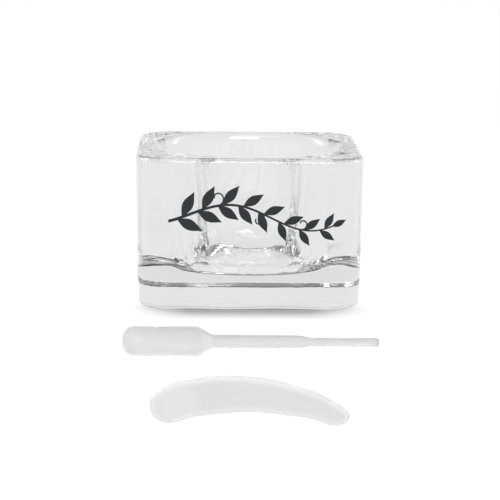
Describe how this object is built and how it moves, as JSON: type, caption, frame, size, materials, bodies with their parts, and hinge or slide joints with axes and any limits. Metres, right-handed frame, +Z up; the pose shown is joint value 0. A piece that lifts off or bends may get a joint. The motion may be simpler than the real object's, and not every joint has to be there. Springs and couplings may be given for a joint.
{
  "type": "dappen dish",
  "caption": "Square block of clear glass with a round well and a leafy print on its front, with a squeeze pipette and an arched spatula in front of it.",
  "frame": {"origin": "centre of the dish's flat underside, on the table", "axes": "+Z up out of the well, -Y out of the printed face towards the two tools, +X to the right as seen from the printed face"},
  "size_m": [0.0617, 0.1782, 0.04],
  "materials": {
    "clear_glass": "clear pressed glass, fire-polished and slightly wavy",
    "ceramic_ink": "dark slate print, satin",
    "soft_clear_plastic": "milky translucent soft plastic, smooth",
    "frosted_plastic": "frosted white translucent plastic, fine matt grain"
  },
  "bodies": {
    "dish": {"glass_dish": "clear_glass", "front_print": "ceramic_ink"},
    "pipette": {"pipette": "soft_clear_plastic"},
    "bulb_wall": {"pipette_squeeze_wall": "soft_clear_plastic"},
    "spatula": {"spatula": "frosted_plastic"}
  },
  "joints": [
    {"name": "pipette_lift", "type": "slide", "parent": "dish", "child": "pipette", "axis": [0, 0, 1], "range_m": [0, 0.1]},
    {"name": "bulb_squeeze", "type": "slide", "parent": "pipette", "child": "bulb_wall", "axis": [0, 0, -1], "range_m": [0, 0.002], "stiffness_N_per_m": 400},
    {"name": "spatula_lift", "type": "slide", "parent": "dish", "child": "spatula", "axis": [0, 0, 1], "range_m": [0, 0.1]}
  ]
}
